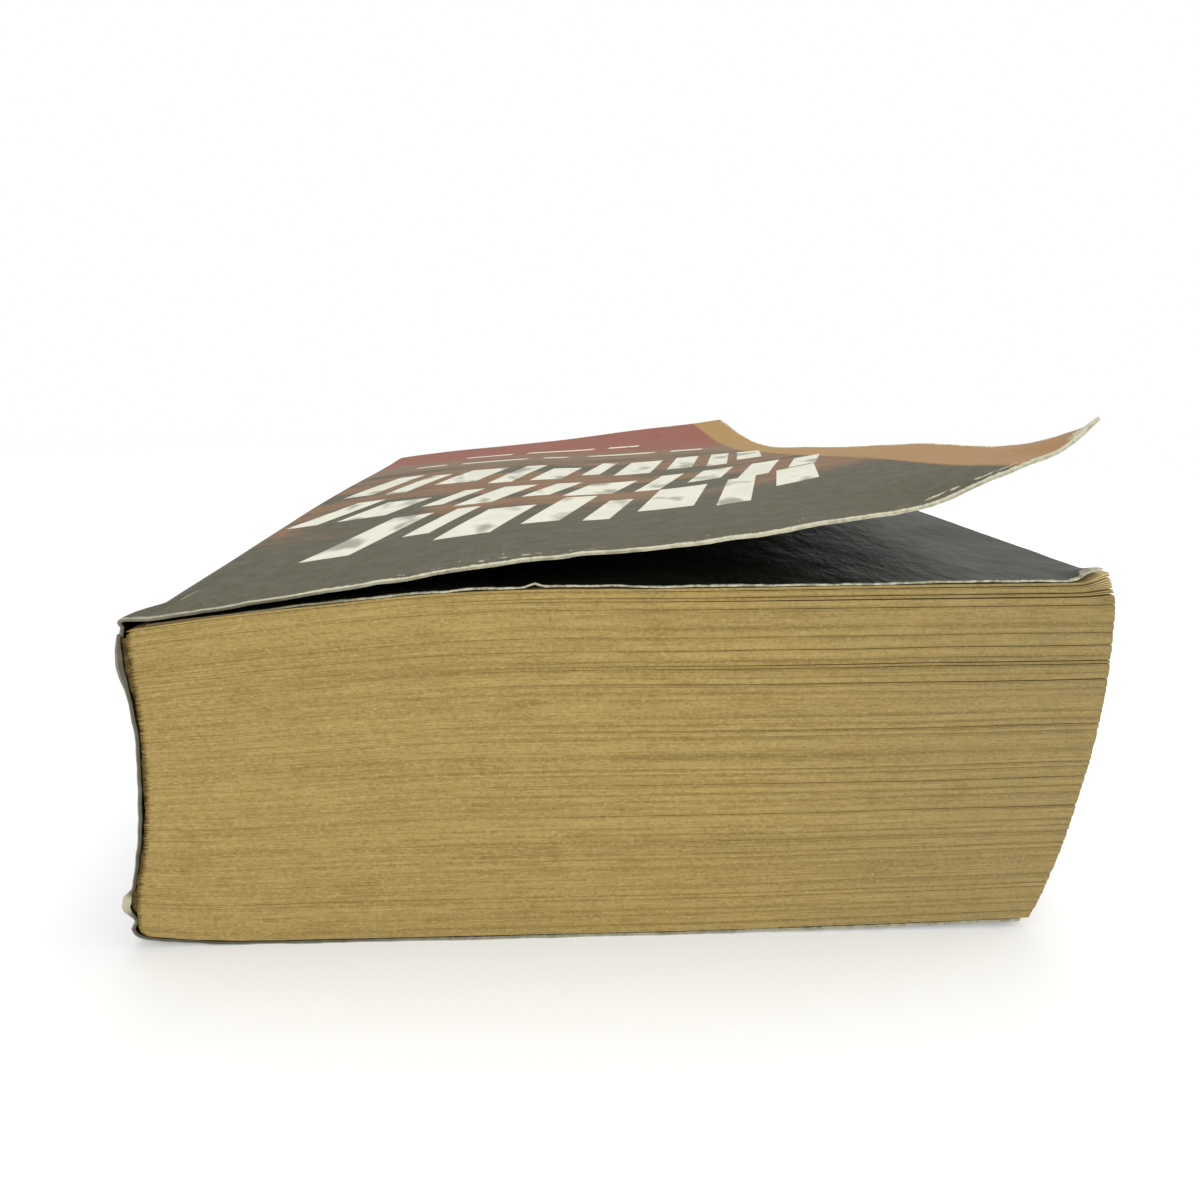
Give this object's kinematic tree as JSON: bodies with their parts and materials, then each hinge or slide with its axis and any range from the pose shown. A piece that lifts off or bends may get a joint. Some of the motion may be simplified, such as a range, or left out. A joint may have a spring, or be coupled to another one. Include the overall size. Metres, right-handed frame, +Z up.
{
  "type": "paperback book",
  "caption": "Thick, well-read paperback book lying on its back, with a rolled spine and a front cover that curls open.",
  "frame": {"origin": "middle of the book, on the flat underside of the back cover", "axes": "+X from the spine to the fore-edge, +Y from the tail to the head, +Z up out of the back cover"},
  "size_m": [0.1119, 0.1906, 0.0621],
  "materials": {
    "pages": "matte",
    "gloss_leaf": "gloss",
    "glue": "matte",
    "cover_card": "satin"
  },
  "bodies": {
    "block": {"text_block": "pages", "inner_leaf": "gloss_leaf", "spine_glue": "glue", "spine_cover": "cover_card"},
    "front": {"front_cover": "cover_card"},
    "back": {"back_cover": "cover_card"}
  },
  "joints": [
    {"name": "front_cover_hinge", "type": "hinge", "parent": "block", "child": "front", "pos_m": [-0.05215, 0, 0.0389], "axis": [0, -1, 0], "range_deg": [0, 170]},
    {"name": "back_cover_hinge", "type": "hinge", "parent": "block", "child": "back", "pos_m": [-0.05465, 0, 0.0011], "axis": [0, 1, 0], "range_deg": [0, 170]}
  ]
}
